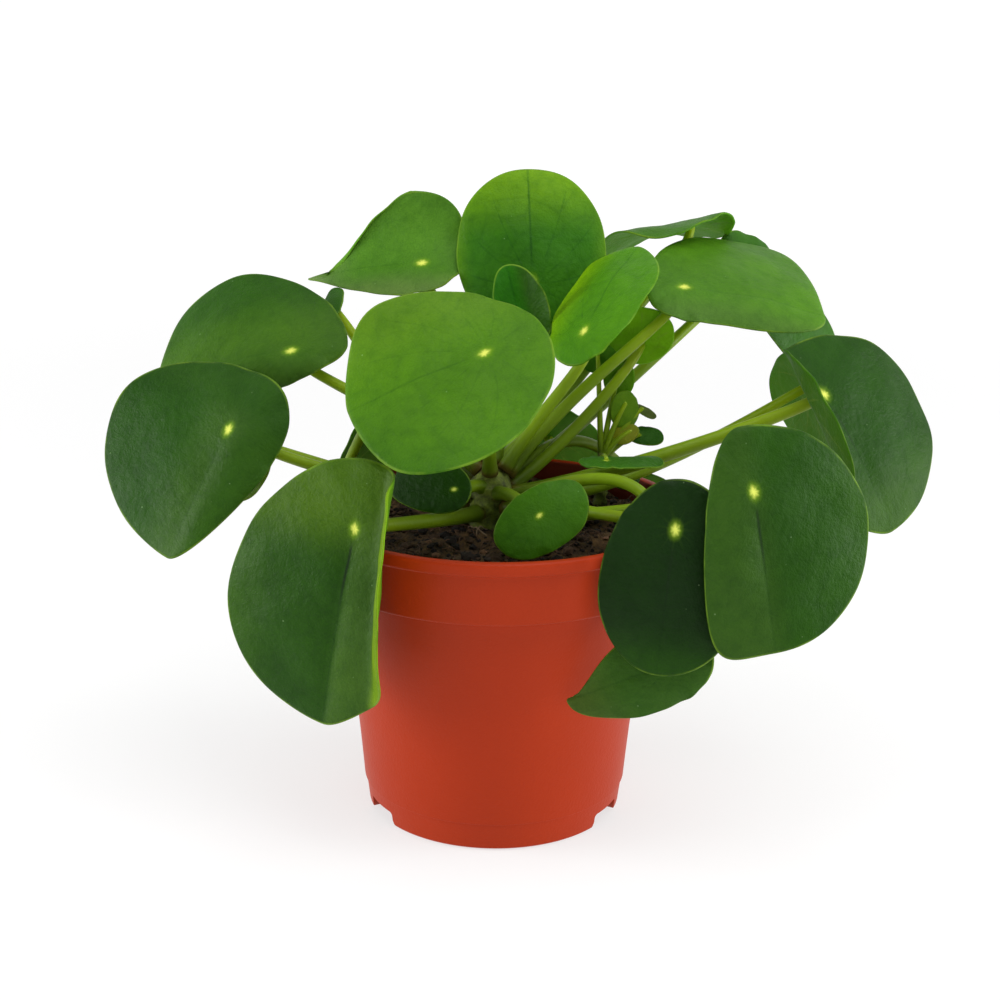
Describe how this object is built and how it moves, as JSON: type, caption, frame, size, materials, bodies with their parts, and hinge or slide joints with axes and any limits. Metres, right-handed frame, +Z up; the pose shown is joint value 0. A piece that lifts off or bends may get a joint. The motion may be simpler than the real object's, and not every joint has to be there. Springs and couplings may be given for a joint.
{
  "type": "potted pilea plant",
  "caption": "Potted pilea with round shield-like leaves on long stalks, a short trunk and an offset plant, in a tapered nursery pot full of soil.",
  "frame": {"origin": "middle of the whole plant's bounding box, at the level of the pot's foot", "axes": "+Z up along the pot's axis, -Y towards the front of the plant, +X to the right seen from the front"},
  "size_m": [0.265, 0.1656, 0.2001],
  "materials": {
    "pot_plastic": "satin moulded plastic, terracotta red",
    "potting_soil": "loose dark brown fibrous soil",
    "trunk_bark": "matte olive brown bark with leaf scars",
    "leaf_stalk": "satin yellow-green stalk",
    "leaf_blade": "waxy green blade with faint radial veins and a pale spot over the stalk"
  },
  "bodies": {
    "root": {"pot": "pot_plastic", "soil": "potting_soil", "trunk": "trunk_bark", "offset_plant": "leaf_blade", "blade_back_left": "leaf_blade", "blade_back_left_young": "leaf_blade", "blade_back_right": "leaf_blade", "blade_back_right_thin": "leaf_blade", "blade_behind_bright": "leaf_blade", "blade_bright": "leaf_blade", "blade_centre": "leaf_blade", "blade_centre_young": "leaf_blade", "blade_crest": "leaf_blade", "blade_crest_young": "leaf_blade", "blade_far_left": "leaf_blade", "blade_far_left_under": "leaf_blade", "blade_far_right": "leaf_blade", "blade_far_right_under": "leaf_blade", "blade_front_right": "leaf_blade", "blade_front_small": "leaf_blade", "blade_inner_right": "leaf_blade", "blade_left_small": "leaf_blade", "blade_low_left": "leaf_blade", "blade_low_right": "leaf_blade", "blade_rear_left": "leaf_blade", "blade_rear_low_left": "leaf_blade", "blade_rear_low_right": "leaf_blade", "blade_rear_mid": "leaf_blade", "blade_upper_left": "leaf_blade", "blade_upper_right": "leaf_blade", "stalk_back_left": "leaf_stalk", "stalk_back_left_young": "leaf_stalk", "stalk_back_right": "leaf_stalk", "stalk_back_right_thin": "leaf_stalk", "stalk_behind_bright": "leaf_stalk", "stalk_bright": "leaf_stalk", "stalk_centre": "leaf_stalk", "stalk_centre_young": "leaf_stalk", "stalk_crest": "leaf_stalk", "stalk_crest_young": "leaf_stalk", "stalk_far_left": "leaf_stalk", "stalk_far_left_under": "leaf_stalk", "stalk_far_right": "leaf_stalk", "stalk_far_right_under": "leaf_stalk", "stalk_front_right": "leaf_stalk", "stalk_front_small": "leaf_stalk", "stalk_inner_right": "leaf_stalk", "stalk_left_small": "leaf_stalk", "stalk_low_left": "leaf_stalk", "stalk_low_right": "leaf_stalk", "stalk_rear_left": "leaf_stalk", "stalk_rear_low_left": "leaf_stalk", "stalk_rear_low_right": "leaf_stalk", "stalk_rear_mid": "leaf_stalk", "stalk_upper_left": "leaf_stalk", "stalk_upper_right": "leaf_stalk"}
  },
  "joints": []
}
